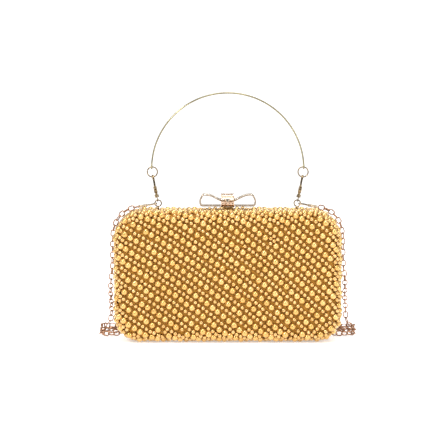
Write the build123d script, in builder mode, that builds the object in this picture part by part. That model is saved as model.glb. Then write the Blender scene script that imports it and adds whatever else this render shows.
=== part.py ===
from build123d import *
import os
from math import asin, cos, degrees, radians, sin, tan

# Evening bag: two hard half shells hinged along the bottom, each in a metal frame and under a skin of
# beads, with a bow on a press latch, a wire arch handle on two swivel hooks, and a shoulder chain.
# Millimetres. +Z is up, -Y is the front, and the bag stands on Z = 0 with its parting line near Y = 0.

# ---- Driving dimensions ----
BAG_WIDTH, BAG_HEIGHT, BAG_DEPTH = 200.0, 116.2, 50.0
TOP_RADIUS, BOTTOM_RADIUS = 27.0, 23.0      # corners of the outline seen from the front
EDGE_RADIUS = 10.5                          # rounding from the walls to the front and rear faces
COVER_THICKNESS = 5.5                       # fabric and beads together
SHELL_THICKNESS = 1.5
LINING_THICKNESS = 0.7
SKIN_GAP = 0.1                              # glue line between the layers
FRAME_INSET = 2.2                           # the frame lies this far below the beads
RIM_Y = 3.8                                 # where each cover and shell meets its frame
FRONT_PARTING_Y, REAR_PARTING_Y = -1.3, -1.1

HINGE_Y, HINGE_Z = -1.2, 2.2
HINGE_X = 45.0
KNUCKLE_RADIUS, KNUCKLE_LENGTH = 1.75, 6.0
PIN_RADIUS = 0.8
RUNNING_GAP = 0.05                          # radial play of a pin in its bore

LATCH_Y, LATCH_Z = 5.5, BAG_HEIGHT - 11.2   # axis of the latch lever
BOW_WIDTH, BOW_HEIGHT = 50.0, 10.7
BOW_BOTTOM_Z = 117.6
RIBBON_DEPTH, RIBBON_THICKNESS = 12.0, 1.5
RIBBON_JOIN_HEIGHT = 5.2
KNOT_WIDTH, KNOT_DEPTH = 11.6, 14.0

EYELET_X, EYELET_Z = 60.8, 120.2
EYELET_RADIUS, EYELET_WIRE = 2.8, 0.55      # to the wire's centre line; radius of the wire

HOOK_LEAN = 10.8                            # degrees outward from upright
HOOK_REACH = 20.6                           # from the eyelet's wire to the handle ring's wire
EYE_HOLE, EYE_WIRE = 1.25, 0.45
SWIVEL_PIN_RADIUS = 0.7

RING_RADIUS, RING_WIRE = 4.4, 0.55
RING_LEAN = 8.0
HANDLE_WIRE = 0.68
HANDLE_TOP_Z = 216.4                        # centre line at the crown of the arch

CLASP_DROP = 10.0                           # degrees below level, outward
CLASP_LENGTH = 15.5                         # from the eyelet's wire to the end of the tail
CLASP_GAP = 0.4                             # from the tail to the chain's envelope
CHAIN_RADIUS = 2.3                          # envelope of the links

SIDES = {"left": -1, "right": 1}
HALVES = {"front": (-1, FRONT_PARTING_Y), "rear": (1, REAR_PARTING_Y)}

os.makedirs("parts", exist_ok=True)


def save(builder, name):
    """Label a finished piece and write it."""
    builder.part.label = name
    export_step(builder.part, f"parts/{name}.step")


def half_block(facing, inset):
    """Solid half of the bag from its rim outward, with outline and face moved in by inset."""
    with BuildPart() as block:
        with BuildSketch(Plane.XZ.offset(-facing * RIM_Y)) as rim:
            with Locations((0, BAG_HEIGHT / 2)):
                Rectangle(BAG_WIDTH - 2 * inset, BAG_HEIGHT - 2 * inset)
            fillet(rim.vertices().group_by(Axis.Y)[-1], TOP_RADIUS - inset)
            fillet(rim.vertices().group_by(Axis.Y)[0], BOTTOM_RADIUS - inset)
        extrude(amount=-facing * (BAG_DEPTH / 2 - inset - RIM_Y))
        face = block.faces().sort_by(Axis.Y)[-1 if facing > 0 else 0]
        fillet(face.edges(), EDGE_RADIUS - inset)
    return block.part


def frame_outline(inset):
    """Add the bag's outline, moved in by inset, to the open sketch in the XZ plane."""
    with Locations((0, BAG_HEIGHT / 2)):
        Rectangle(BAG_WIDTH - 2 * inset, BAG_HEIGHT - 2 * inset)


def along_x(x, y, z):
    """Place with its local Z axis along X."""
    return Location((x, y, z), (0, 90, 0))


# ---- Shells, covers and linings ----
shell_outer = COVER_THICKNESS + SKIN_GAP
shell_inner = shell_outer + SHELL_THICKNESS
lining_outer = shell_inner + SKIN_GAP

LAYERS = {
    "pearl_cover": (0, COVER_THICKNESS),
    "shell": (shell_outer, shell_inner),
    "lining": (lining_outer, lining_outer + LINING_THICKNESS),
}
for half, (facing, _) in HALVES.items():
    for layer, (outer, inner) in LAYERS.items():
        with BuildPart() as skin:
            add(half_block(facing, outer))
            add(half_block(facing, inner), mode=Mode.SUBTRACT)
        save(skin, f"{half}_{layer}")

POCKET_WIDTH, POCKET_BOTTOM, POCKET_TOP, POCKET_THICKNESS = 110.0, 24.0, 74.0, 0.6
pocket_back = BAG_DEPTH / 2 - lining_outer - LINING_THICKNESS
POCKET_MOUTH = 1.0                          # the free upper edge stands this far off the lining
with BuildPart() as pocket:
    with BuildSketch(Plane.YZ):
        with BuildLine():
            Polyline(
                (pocket_back - POCKET_THICKNESS, POCKET_BOTTOM),
                (pocket_back, POCKET_BOTTOM),
                (pocket_back - POCKET_MOUTH, POCKET_TOP),
                (pocket_back - POCKET_MOUTH - POCKET_THICKNESS, POCKET_TOP),
                close=True,
            )
        make_face()
    extrude(amount=POCKET_WIDTH / 2, both=True)
save(pocket, "lining_pocket")

# ---- Frames with their hinge knuckles ----
NOTCH_WIDTH, NOTCH_BACK_Y = 13.0, 2.8       # where the latch lever passes the rear frame
SCREW_RADIUS = 0.7
frame_top = BAG_HEIGHT - FRAME_INSET
frame_depth = {"front": RIM_Y + FRONT_PARTING_Y, "rear": RIM_Y - REAR_PARTING_Y}
KNUCKLE_GAP = 0.15
knuckle_step = KNUCKLE_LENGTH + KNUCKLE_GAP
own_knuckles = {"front": [0.0], "rear": [-knuckle_step, knuckle_step]}
other_knuckles = {"front": [-knuckle_step, knuckle_step], "rear": [0.0]}

for half, (facing, parting_y) in HALVES.items():
    with BuildPart() as frame:
        with BuildSketch(Plane.XZ.offset(-facing * RIM_Y)) as ring:
            frame_outline(FRAME_INSET)
            fillet(ring.vertices().group_by(Axis.Y)[-1], TOP_RADIUS - FRAME_INSET)
            fillet(ring.vertices().group_by(Axis.Y)[0], BOTTOM_RADIUS - FRAME_INSET)
            with BuildSketch(mode=Mode.SUBTRACT) as opening:
                frame_outline(shell_inner)
                fillet(opening.vertices().group_by(Axis.Y)[-1], TOP_RADIUS - shell_inner)
                fillet(opening.vertices().group_by(Axis.Y)[0], BOTTOM_RADIUS - shell_inner)
        extrude(amount=facing * frame_depth[half])
        for hinge_x in (-HINGE_X, HINGE_X):
            with Locations([along_x(hinge_x + dx, HINGE_Y, HINGE_Z) for dx in other_knuckles[half]]):
                Cylinder(KNUCKLE_RADIUS + 0.35, KNUCKLE_LENGTH + 0.3, mode=Mode.SUBTRACT)
            with Locations([along_x(hinge_x + dx, HINGE_Y, HINGE_Z) for dx in own_knuckles[half]]):
                Cylinder(KNUCKLE_RADIUS, KNUCKLE_LENGTH)
            with Locations(along_x(hinge_x, HINGE_Y, HINGE_Z)):
                Cylinder(PIN_RADIUS + RUNNING_GAP, 4 * KNUCKLE_LENGTH, mode=Mode.SUBTRACT)
        if half == "rear":
            with Locations((0, (parting_y + NOTCH_BACK_Y) / 2, frame_top - 3)):
                Box(NOTCH_WIDTH, NOTCH_BACK_Y - parting_y, 8, mode=Mode.SUBTRACT)
            with Locations([(side * EYELET_X, 0, frame_top) for side in SIDES.values()]):
                Cylinder(SCREW_RADIUS, 20, mode=Mode.SUBTRACT)
    save(frame, f"{half}_frame")

for side_name, side in SIDES.items():
    with BuildPart() as hinge_pin:
        with Locations(along_x(side * HINGE_X, HINGE_Y, HINGE_Z)):
            Cylinder(PIN_RADIUS, 3 * KNUCKLE_LENGTH + 2 * KNUCKLE_GAP)
    save(hinge_pin, f"hinge_pin_{side_name}")

# ---- Latch: strike on the front frame, lever and spring on a bracket under the rear frame ----
inner_top = BAG_HEIGHT - shell_inner
WINDOW_BOTTOM, WINDOW_TOP, WINDOW_WIDTH = LATCH_Z - 1.6, LATCH_Z + 3.4, 11.2
STRIKE_BOTTOM, STRIKE_WIDTH, STRIKE_THICKNESS = LATCH_Z - 4.5, 17.0, 1.0
with BuildPart() as strike:
    with BuildSketch(Plane.XZ.offset(RIM_Y)) as plate:
        with Locations((0, (STRIKE_BOTTOM + inner_top) / 2)):
            Rectangle(STRIKE_WIDTH, inner_top - STRIKE_BOTTOM)
        fillet(plate.vertices().group_by(Axis.Y)[0], 2.0)
        with Locations((0, (WINDOW_BOTTOM + WINDOW_TOP) / 2)):
            Rectangle(WINDOW_WIDTH, WINDOW_TOP - WINDOW_BOTTOM, mode=Mode.SUBTRACT)
    extrude(amount=-STRIKE_THICKNESS)
save(strike, "latch_strike")

CHEEK_INNER, CHEEK_THICKNESS = 5.6, 1.0
LATCH_PIN_RADIUS = 0.6
WEB_FRONT_Y, WEB_THICKNESS, WEB_BOTTOM = 7.9, 0.8, LATCH_Z - 2.4
cheek_top = inner_top - 1.0                 # behind the rim the bracket stays under the lining
with BuildPart() as bracket:
    for side in SIDES.values():
        with BuildSketch(Plane.YZ.offset(side * (CHEEK_INNER + CHEEK_THICKNESS / 2))):
            with BuildLine():
                Polyline(
                    (1.0, inner_top),
                    (RIM_Y - SKIN_GAP, inner_top),
                    (RIM_Y - SKIN_GAP, cheek_top),
                    (WEB_FRONT_Y + WEB_THICKNESS, cheek_top),
                    (WEB_FRONT_Y + WEB_THICKNESS, WEB_BOTTOM),
                    (LATCH_Y - 2, WEB_BOTTOM),
                    (1.0, cheek_top - 1),
                    close=True,
                )
            make_face()
        extrude(amount=CHEEK_THICKNESS / 2, both=True)
    with Locations((0, WEB_FRONT_Y + WEB_THICKNESS / 2, (WEB_BOTTOM + cheek_top) / 2)):
        Box(2 * CHEEK_INNER, WEB_THICKNESS, cheek_top - WEB_BOTTOM)
    with Locations(along_x(0, LATCH_Y, LATCH_Z)):
        Cylinder(LATCH_PIN_RADIUS, 20, mode=Mode.SUBTRACT)
save(bracket, "latch_bracket")

with BuildPart() as latch_pin:
    with Locations(along_x(0, LATCH_Y, LATCH_Z)):
        Cylinder(LATCH_PIN_RADIUS, 2 * (CHEEK_INNER + CHEEK_THICKNESS) + 0.6)
save(latch_pin, "latch_pin")

STEM_FRONT_Y, STEM_THICKNESS = -0.95, 1.3
STEM_WIDTH, TONGUE_WIDTH = 8.0, 10.4
STEM_TOP = BOW_BOTTOM_Z - 0.8
ELBOW_Z = LATCH_Z + 3.2
TONGUE_BOTTOM, TONGUE_TOP, TONGUE_TIP_Y = LATCH_Z - 1.2, LATCH_Z + 0.3, -5.6
with BuildPart() as lever:
    with BuildSketch(Plane.YZ):
        with BuildLine():
            Polyline(
                (LATCH_Y - 1, LATCH_Z - 1),
                (LATCH_Y + 1, LATCH_Z + 1),
                (STEM_FRONT_Y + STEM_THICKNESS, ELBOW_Z + 1),
                (STEM_FRONT_Y + STEM_THICKNESS, STEM_TOP),
                (STEM_FRONT_Y, STEM_TOP),
                (STEM_FRONT_Y, ELBOW_Z),
                close=True,
            )
        make_face()
    extrude(amount=STEM_WIDTH / 2, both=True)
    with BuildSketch(Plane.YZ):
        with Locations(((TONGUE_TIP_Y + LATCH_Y) / 2, (TONGUE_BOTTOM + TONGUE_TOP) / 2)):
            Rectangle(LATCH_Y - TONGUE_TIP_Y, TONGUE_TOP - TONGUE_BOTTOM)
        with Locations((LATCH_Y, LATCH_Z)):
            Circle(1.9)
    extrude(amount=TONGUE_WIDTH / 2, both=True)
    with Locations(along_x(0, LATCH_Y, LATCH_Z)):
        Cylinder(LATCH_PIN_RADIUS + RUNNING_GAP, 20, mode=Mode.SUBTRACT)
save(lever, "latch_lever")

SPRING_THICKNESS, SPRING_WIDTH = 0.35, 5.0
spring_back = WEB_FRONT_Y + WEB_THICKNESS
with BuildPart() as spring:
    with BuildSketch(Plane.YZ):
        with BuildLine():
            FilletPolyline(
                (spring_back + SPRING_THICKNESS / 2, cheek_top - 0.5),
                (spring_back + SPRING_THICKNESS / 2, WEB_BOTTOM - 0.9),
                (LATCH_Y - 0.8, WEB_BOTTOM - 0.1),
                radius=0.6,
            )
        trace(line_width=SPRING_THICKNESS)
    extrude(amount=SPRING_WIDTH / 2, both=True)
save(spring, "latch_spring")

# ---- Bow ----
with BuildPart() as bow_base:
    with BuildSketch(Plane.XY.offset(STEM_TOP)):
        with Locations((0, -0.5)):
            RectangleRounded(12.0, 5.6, 1.0)
    extrude(amount=BOW_BOTTOM_Z - STEM_TOP)
save(bow_base, "bow_base")

KNOT_TOP_Z = BOW_BOTTOM_Z + BOW_HEIGHT + 0.4
KNOT_WALL_GAP = 0.3
ribbon_low = BOW_BOTTOM_Z + RIBBON_THICKNESS / 2
ribbon_high = BOW_BOTTOM_Z + BOW_HEIGHT - RIBBON_THICKNESS / 2
for side_name, side in SIDES.items():
    with BuildPart() as loop:
        with BuildSketch(Plane.XZ.offset(-RIBBON_DEPTH / 2)):
            with BuildLine():
                start_x = side * (KNOT_WIDTH / 2 + KNOT_WALL_GAP)
                end_x = side * (BOW_WIDTH - RIBBON_THICKNESS) / 2
                FilletPolyline(
                    (start_x, ribbon_low),
                    (end_x - side * 0.5, ribbon_low),
                    (end_x, ribbon_low + 4.4),
                    (end_x - side * 2.6, ribbon_high + 0.6),
                    (end_x - side * 9.5, ribbon_high - 0.2),
                    (start_x, BOW_BOTTOM_Z + RIBBON_JOIN_HEIGHT),
                    radius=[2.3, 4.5, 2.6, 16.0],
                )
            trace(line_width=RIBBON_THICKNESS)
        extrude(amount=RIBBON_DEPTH)
    save(loop, f"bow_loop_{side_name}")

with BuildPart() as knot:
    with BuildSketch(Plane.YZ.offset(-KNOT_WIDTH / 2)) as section:
        with Locations((0, (BOW_BOTTOM_Z + KNOT_TOP_Z) / 2)):
            Rectangle(KNOT_DEPTH, KNOT_TOP_Z - BOW_BOTTOM_Z)
        fillet(section.vertices().group_by(Axis.Y)[-1], 4.2)
        fillet(section.vertices().group_by(Axis.Y)[0], 2.0)
    extrude(amount=KNOT_WIDTH)
save(knot, "bow_knot")

# ---- Eyelets on the rear frame ----
for side_name, side in SIDES.items():
    eyelet_x = side * EYELET_X
    neck_height = EYELET_Z - EYELET_RADIUS - frame_top
    with BuildPart() as eyelet:
        with Locations(Location((eyelet_x, 0, EYELET_Z), (90, 0, 0))):
            Torus(EYELET_RADIUS, EYELET_WIRE)
        with Locations((eyelet_x, 0, frame_top + neck_height / 2)):
            Cylinder(0.85, neck_height)
        with Locations((eyelet_x, 0, frame_top - 3.4)):
            Cylinder(SCREW_RADIUS, 6.8)
    save(eyelet, f"eyelet_{side_name}")
    with BuildPart() as nut:
        with BuildSketch(Plane.XY.offset(inner_top - 1.3)):
            with Locations((eyelet_x, 0)):
                RegularPolygon(1.6, 6)
                Circle(SCREW_RADIUS, mode=Mode.SUBTRACT)
        extrude(amount=1.3)
    save(nut, f"eyelet_nut_{side_name}")


# ---- Swivel hooks between the eyelets and the handle rings ----
def hook_plane(side):
    """Plane of one hook: its local X is the bag's Y, its local Y runs up the hook, origin on the eyelet."""
    lean = radians(HOOK_LEAN)
    origin = (
        side * (EYELET_X + EYELET_RADIUS * sin(lean)),
        0,
        EYELET_Z + EYELET_RADIUS * cos(lean),
    )
    return Plane(origin=origin, x_dir=(0, 1, 0), z_dir=(cos(lean), 0, -side * sin(lean)))


def hook_axis_plane(side, height):
    """Plane across the hook's length at the given height above the eyelet's wire."""
    plane = hook_plane(side)
    return Plane(origin=plane.from_local_coords((0, height, 0)), z_dir=plane.y_dir, x_dir=plane.x_dir)


eye_centre = EYE_HOLE - EYELET_WIRE - 0.2
eye_top = eye_centre + EYE_HOLE + 2 * EYE_WIRE
COLLAR_RADIUS, COLLAR_HEIGHT = 1.95, 1.1
lower_collar = eye_top - 0.25
upper_collar = lower_collar + COLLAR_HEIGHT + 0.2
NECK_RADIUS, NECK_TOP = 1.15, 7.2
CAVITY_TOP = 8.1
PIN_HEAD_RADIUS = 1.0

BODY_HALF_WIDTH = 3.4                       # half the hook's width in the bag's Y direction
CLAW_HOLE = 2.15
claw_top_centre = HOOK_REACH + RING_WIRE + 0.12 - CLAW_HOLE
HOLE_BOTTOM = 13.2
SHOULDER_HALF_WIDTH, SHOULDER_BOTTOM, SHOULDER_TOP = 1.7, NECK_TOP - 0.6, 12.4
BODY_THICKNESS, CLAW_THICKNESS = 2.9, 1.7
GATE_THICKNESS, GATE_WIDTH = 1.3, 1.05
gate_u = -BODY_HALF_WIDTH + 0.55            # across the hook, on the front side
GATE_PIVOT, GATE_PIN_RADIUS = 10.6, 0.4
GATE_KNUCKLE_RADIUS = 0.95
GATE_SLOT_BOTTOM, GATE_SLOT_TOP, GATE_SLOT_WIDTH = 9.0, 14.4, 4.8
MOUTH_BOTTOM, MOUTH_WIDTH = 11.6, 3.6       # the opening that the gate closes
gate_top = claw_top_centre - 0.4

for side_name, side in SIDES.items():
    plane = hook_plane(side)

    with BuildPart() as swivel_eye:
        with Locations(plane.location * Location((0, eye_centre, 0))):
            Torus(EYE_HOLE + EYE_WIRE, EYE_WIRE)
        with BuildSketch(hook_axis_plane(side, lower_collar)):
            Circle(COLLAR_RADIUS)
        extrude(amount=COLLAR_HEIGHT)
        with BuildSketch(hook_axis_plane(side, lower_collar)):
            Circle(SWIVEL_PIN_RADIUS)
        extrude(amount=NECK_TOP + 0.1 - lower_collar)
        with BuildSketch(hook_axis_plane(side, NECK_TOP + 0.1)):
            Circle(PIN_HEAD_RADIUS)
        extrude(amount=CAVITY_TOP - NECK_TOP - 0.2)
    save(swivel_eye, f"swivel_eye_{side_name}")

    with BuildPart() as hook:
        with BuildSketch(plane) as profile:
            with BuildLine():
                Polyline((-SHOULDER_HALF_WIDTH, SHOULDER_BOTTOM), (SHOULDER_HALF_WIDTH, SHOULDER_BOTTOM),
                         (BODY_HALF_WIDTH, SHOULDER_TOP), (BODY_HALF_WIDTH, claw_top_centre))
                RadiusArc((BODY_HALF_WIDTH, claw_top_centre), (-BODY_HALF_WIDTH, claw_top_centre),
                          -BODY_HALF_WIDTH)
                Polyline((-BODY_HALF_WIDTH, claw_top_centre), (-BODY_HALF_WIDTH, SHOULDER_TOP),
                         (-SHOULDER_HALF_WIDTH, SHOULDER_BOTTOM))
            make_face()
            with Locations((0, (HOLE_BOTTOM + claw_top_centre) / 2)):
                SlotCenterToCenter(claw_top_centre - HOLE_BOTTOM - 2 * CLAW_HOLE, 2 * CLAW_HOLE,
                                   rotation=90, mode=Mode.SUBTRACT)
            with Locations((0, claw_top_centre)):
                Circle(CLAW_HOLE, mode=Mode.SUBTRACT)
            with Locations((-BODY_HALF_WIDTH, (MOUTH_BOTTOM + gate_top) / 2 + 0.1)):
                Rectangle(MOUTH_WIDTH, gate_top - MOUTH_BOTTOM + 0.2, mode=Mode.SUBTRACT)
        extrude(amount=CLAW_THICKNESS / 2, both=True)
        with BuildSketch(plane):
            with BuildLine():
                Polyline((-SHOULDER_HALF_WIDTH, SHOULDER_BOTTOM), (SHOULDER_HALF_WIDTH, SHOULDER_BOTTOM),
                         (BODY_HALF_WIDTH - 0.2, SHOULDER_TOP - 0.4),
                         (-BODY_HALF_WIDTH + 0.2, SHOULDER_TOP - 0.4), close=True)
            make_face()
        extrude(amount=BODY_THICKNESS / 2, both=True)
        with BuildSketch(hook_axis_plane(side, upper_collar)):
            Circle(COLLAR_RADIUS)
        extrude(amount=COLLAR_HEIGHT)
        with BuildSketch(hook_axis_plane(side, upper_collar)):
            Circle(NECK_RADIUS)
        extrude(amount=NECK_TOP - upper_collar)
        with BuildSketch(hook_axis_plane(side, upper_collar - 0.1)):
            Circle(SWIVEL_PIN_RADIUS + RUNNING_GAP)
        extrude(amount=NECK_TOP - upper_collar + 0.2, mode=Mode.SUBTRACT)
        with BuildSketch(hook_axis_plane(side, NECK_TOP)):
            Circle(PIN_HEAD_RADIUS + 0.1)
        extrude(amount=CAVITY_TOP - NECK_TOP, mode=Mode.SUBTRACT)
        with BuildSketch(plane):
            with Locations((-BODY_HALF_WIDTH + 0.3, (GATE_SLOT_BOTTOM + GATE_SLOT_TOP) / 2)):
                Rectangle(GATE_SLOT_WIDTH, GATE_SLOT_TOP - GATE_SLOT_BOTTOM)
        extrude(amount=GATE_THICKNESS / 2 + 0.1, both=True, mode=Mode.SUBTRACT)
        with BuildSketch(plane):
            with Locations((gate_u, GATE_PIVOT)):
                Circle(GATE_PIN_RADIUS)
        extrude(amount=2, both=True, mode=Mode.SUBTRACT)
    save(hook, f"hook_body_{side_name}")

    with BuildPart() as gate:
        with BuildSketch(plane):
            with Locations((gate_u, (GATE_PIVOT + gate_top) / 2)):
                Rectangle(GATE_WIDTH, gate_top - GATE_PIVOT)
            with Locations((gate_u, GATE_PIVOT)):
                Circle(GATE_KNUCKLE_RADIUS)
            with BuildLine():
                Polyline((gate_u, GATE_PIVOT + 3.0), (gate_u - 2.0, GATE_PIVOT + 2.6),
                         (gate_u - 1.6, GATE_PIVOT + 1.6), (gate_u, GATE_PIVOT + 0.6), close=True)
            make_face()
        extrude(amount=GATE_THICKNESS / 2, both=True)
        with BuildSketch(plane):
            with Locations((gate_u, GATE_PIVOT)):
                Circle(GATE_PIN_RADIUS + RUNNING_GAP)
        extrude(amount=2, both=True, mode=Mode.SUBTRACT)
    save(gate, f"hook_gate_{side_name}")

    with BuildPart() as gate_pin:
        with BuildSketch(plane):
            with Locations((gate_u, GATE_PIVOT)):
                Circle(GATE_PIN_RADIUS)
        extrude(amount=BODY_THICKNESS / 2, both=True)
    save(gate_pin, f"hook_gate_pin_{side_name}")


# ---- Handle rings and the wire arch ----
def ring_bottom(side):
    """Centre of the ring's wire where the hook carries it."""
    return hook_plane(side).from_local_coords((0, HOOK_REACH, 0))


ring_tilt = radians(RING_LEAN)
for side_name, side in SIDES.items():
    start = ring_bottom(side)
    centre = start + Vector(side * RING_RADIUS * sin(ring_tilt), 0, RING_RADIUS * cos(ring_tilt))
    with BuildPart() as handle_ring:
        with Locations(Location(tuple(centre), (90, 0, 0))):
            Torus(RING_RADIUS, RING_WIRE)
    save(handle_ring, f"handle_ring_{side_name}")

ring_top = ring_bottom(1) + Vector(2 * RING_RADIUS * sin(ring_tilt), 0, 2 * RING_RADIUS * cos(ring_tilt))
arch_radius = ring_top.X
arch_centre_z = HANDLE_TOP_Z - arch_radius
handle_eye_z = ring_top.Z + EYE_HOLE - RING_WIRE - 0.2
handle_eye_radius = EYE_HOLE + HANDLE_WIRE
arch_start = degrees(asin((handle_eye_z + handle_eye_radius - arch_centre_z) / arch_radius))
with BuildPart() as handle:
    with BuildLine(Plane.XZ) as arch:
        CenterArc((0, arch_centre_z), arch_radius, arch_start, 180 - 2 * arch_start)
    with BuildSketch(Plane(origin=arch.line @ 0, z_dir=arch.line % 0)):
        Circle(HANDLE_WIRE)
    sweep()
    with Locations([along_x(side * (arch_radius - 0.1), 0, handle_eye_z) for side in SIDES.values()]):
        Torus(handle_eye_radius, HANDLE_WIRE)
save(handle, "handle_arch")


# ---- Clasps that join the shoulder chain to the eyelets ----
def clasp_plane(side):
    """Plane of one clasp: its local X runs outward along the clasp, its local Y is the bag's Y."""
    drop = radians(CLASP_DROP)
    origin = (
        side * (EYELET_X + EYELET_RADIUS * cos(drop)),
        0,
        EYELET_Z - EYELET_RADIUS * sin(drop),
    )
    outward = (side * cos(drop), 0, -sin(drop))
    return Plane(origin=origin, x_dir=outward, z_dir=(side * sin(drop), 0, cos(drop)))


CLASP_HALF_WIDTH, CLASP_WIRE = 2.6, 1.0
CLASP_THICKNESS, CROWN_THICKNESS = 2.2, 1.5
crown_centre = -0.95 + CLASP_HALF_WIDTH - CLASP_WIRE
CLASP_HOLE_END = 6.2
clasp_gate_v = -CLASP_HALF_WIDTH + 0.45     # across the clasp
CLASP_GATE_WIDTH, CLASP_GATE_TIP = 0.9, 1.3
CLASP_PIVOT, CLASP_KNUCKLE_RADIUS = 8.0, 0.75
CLASP_MOUTH_END, CLASP_SHOULDER = 7.0, 7.6  # along the clasp
WAIST_END, WAIST_HALF_WIDTH = 12.2, 1.2     # where the body narrows into its tail
TAIL_RADIUS, TAIL_HOLE = 1.7, 0.8
tail_centre = CLASP_LENGTH - 2.0
CLASP_SLOT_LENGTH, CLASP_SLOT_DEPTH = 3.6, 3.4

for side_name, side in SIDES.items():
    plane = clasp_plane(side)

    with BuildPart() as clasp:
        with BuildSketch(plane) as profile:
            with Locations((crown_centre, 0)):
                Circle(CLASP_HALF_WIDTH)
            with BuildLine():
                Polyline((crown_centre, -CLASP_HALF_WIDTH), (CLASP_SHOULDER, -CLASP_HALF_WIDTH),
                         (WAIST_END, -WAIST_HALF_WIDTH), (WAIST_END, WAIST_HALF_WIDTH),
                         (CLASP_SHOULDER, CLASP_HALF_WIDTH), (crown_centre, CLASP_HALF_WIDTH),
                         close=True)
            make_face()
            with Locations((crown_centre, 0)):
                Circle(CLASP_HALF_WIDTH - CLASP_WIRE, mode=Mode.SUBTRACT)
            with Locations(((crown_centre + CLASP_HOLE_END) / 2, 0)):
                Rectangle(CLASP_HOLE_END - crown_centre, 2 * (CLASP_HALF_WIDTH - CLASP_WIRE),
                          mode=Mode.SUBTRACT)
            with Locations(((CLASP_GATE_TIP + CLASP_MOUTH_END) / 2 - 0.1, -CLASP_HALF_WIDTH)):
                Rectangle(CLASP_MOUTH_END - CLASP_GATE_TIP, 2 * CLASP_WIRE + 0.4, mode=Mode.SUBTRACT)
        extrude(amount=CROWN_THICKNESS / 2, both=True)
        with BuildSketch(plane):
            with BuildLine():
                Polyline((CLASP_MOUTH_END - 0.1, -CLASP_HALF_WIDTH + 0.1),
                         (CLASP_MOUTH_END - 0.1, CLASP_HALF_WIDTH - 0.1),
                         (WAIST_END, WAIST_HALF_WIDTH), (WAIST_END, -WAIST_HALF_WIDTH), close=True)
            make_face()
            with Locations((tail_centre, 0)):
                Circle(TAIL_RADIUS)
        extrude(amount=CLASP_THICKNESS / 2, both=True)
        with BuildSketch(plane):
            with Locations((tail_centre, 0)):
                Circle(TAIL_HOLE)
        extrude(amount=3, both=True, mode=Mode.SUBTRACT)
        with BuildSketch(plane):
            with Locations((CLASP_PIVOT - 0.6, -CLASP_HALF_WIDTH + 0.3)):
                Rectangle(CLASP_SLOT_LENGTH, CLASP_SLOT_DEPTH)
        extrude(amount=GATE_THICKNESS / 2, both=True, mode=Mode.SUBTRACT)
        with BuildSketch(plane):
            with Locations((CLASP_PIVOT, clasp_gate_v)):
                Circle(GATE_PIN_RADIUS)
        extrude(amount=2, both=True, mode=Mode.SUBTRACT)
    save(clasp, f"clasp_body_{side_name}")

    with BuildPart() as clasp_gate:
        with BuildSketch(plane):
            with Locations(((CLASP_GATE_TIP + CLASP_PIVOT) / 2, clasp_gate_v)):
                Rectangle(CLASP_PIVOT - CLASP_GATE_TIP, CLASP_GATE_WIDTH)
            with Locations((CLASP_PIVOT, clasp_gate_v)):
                Circle(CLASP_KNUCKLE_RADIUS)
            with BuildLine():
                Polyline((CLASP_PIVOT - 2.8, clasp_gate_v), (CLASP_PIVOT - 2.4, clasp_gate_v - 1.5),
                         (CLASP_PIVOT - 1.6, clasp_gate_v - 1.3), (CLASP_PIVOT - 0.6, clasp_gate_v),
                         close=True)
            make_face()
        extrude(amount=GATE_THICKNESS / 2 - 0.1, both=True)
        with BuildSketch(plane):
            with Locations((CLASP_PIVOT, clasp_gate_v)):
                Circle(GATE_PIN_RADIUS + RUNNING_GAP)
        extrude(amount=2, both=True, mode=Mode.SUBTRACT)
    save(clasp_gate, f"clasp_gate_{side_name}")

    with BuildPart() as clasp_pin:
        with BuildSketch(plane):
            with Locations((CLASP_PIVOT, clasp_gate_v)):
                Circle(GATE_PIN_RADIUS)
        extrude(amount=CLASP_THICKNESS / 2, both=True)
    save(clasp_pin, f"clasp_gate_pin_{side_name}")

# ---- Shoulder chain: one run down each rear corner, and the rest laid up behind the bag ----
HANK_TOP = 8.0
CHAIN_ROUTES = {
    "left": [
        (-87.1, 0.0, 115.56), (-95.6, 0.0, 108.3), (-100.2, 0.0, 98.2), (-100.7, 0.0, 85.0),
        (-100.7, 0.0, 72.0), (-101.2, 0.2, 60.5), (-102.7, 1.8, 50.5), (-103.2, 8.0, 41.0),
        (-103.2, 16.8, 31.0), (-103.2, 25.2, 21.0), (-103.2, 25.2, HANK_TOP),
    ],
    "right": [
        (87.1, 0.0, 115.56), (95.6, 0.0, 108.3), (100.3, 0.0, 98.2), (100.8, 0.0, 85.0),
        (100.9, 0.0, 74.0), (101.5, 0.2, 64.0), (102.9, 2.2, 54.5), (103.5, 9.2, 44.5),
        (103.8, 18.2, 34.0), (105.0, 27.4, 22.0), (105.0, 27.4, HANK_TOP),
    ],
}


def corner_radii(points):
    """Largest tangent arc at each corner of a route, from its two runs and its turn."""
    radii = []
    for before, corner, after in zip(points, points[1:], points[2:]):
        run_in = Vector(corner) - Vector(before)
        run_out = Vector(after) - Vector(corner)
        half_turn = radians(run_in.get_angle(run_out)) / 2
        radii.append(0.45 * min(run_in.length, run_out.length) / tan(half_turn))
    return radii


for side_name, side in SIDES.items():
    exit_point = clasp_plane(side).from_local_coords((CLASP_LENGTH + CLASP_GAP, 0, 0))
    points = [tuple(exit_point)] + CHAIN_ROUTES[side_name]
    radii = corner_radii(points)
    print(f"chain_run_{side_name} radii", [round(radius, 1) for radius in radii])
    with BuildPart() as chain_run:
        with BuildLine():
            centre_line = FilletPolyline(*points, radius=radii)
        with BuildSketch(Plane(origin=centre_line @ 0, z_dir=centre_line % 0)) as section:
            Circle(CHAIN_RADIUS)
        sweep()
    section_volume = section.sketch.area * centre_line.length
    print(f"chain_run_{side_name} length {centre_line.length:.1f}, volume {chain_run.part.volume:.1f}",
          f"section times length {section_volume:.1f}")
    save(chain_run, f"chain_run_{side_name}")

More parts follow.
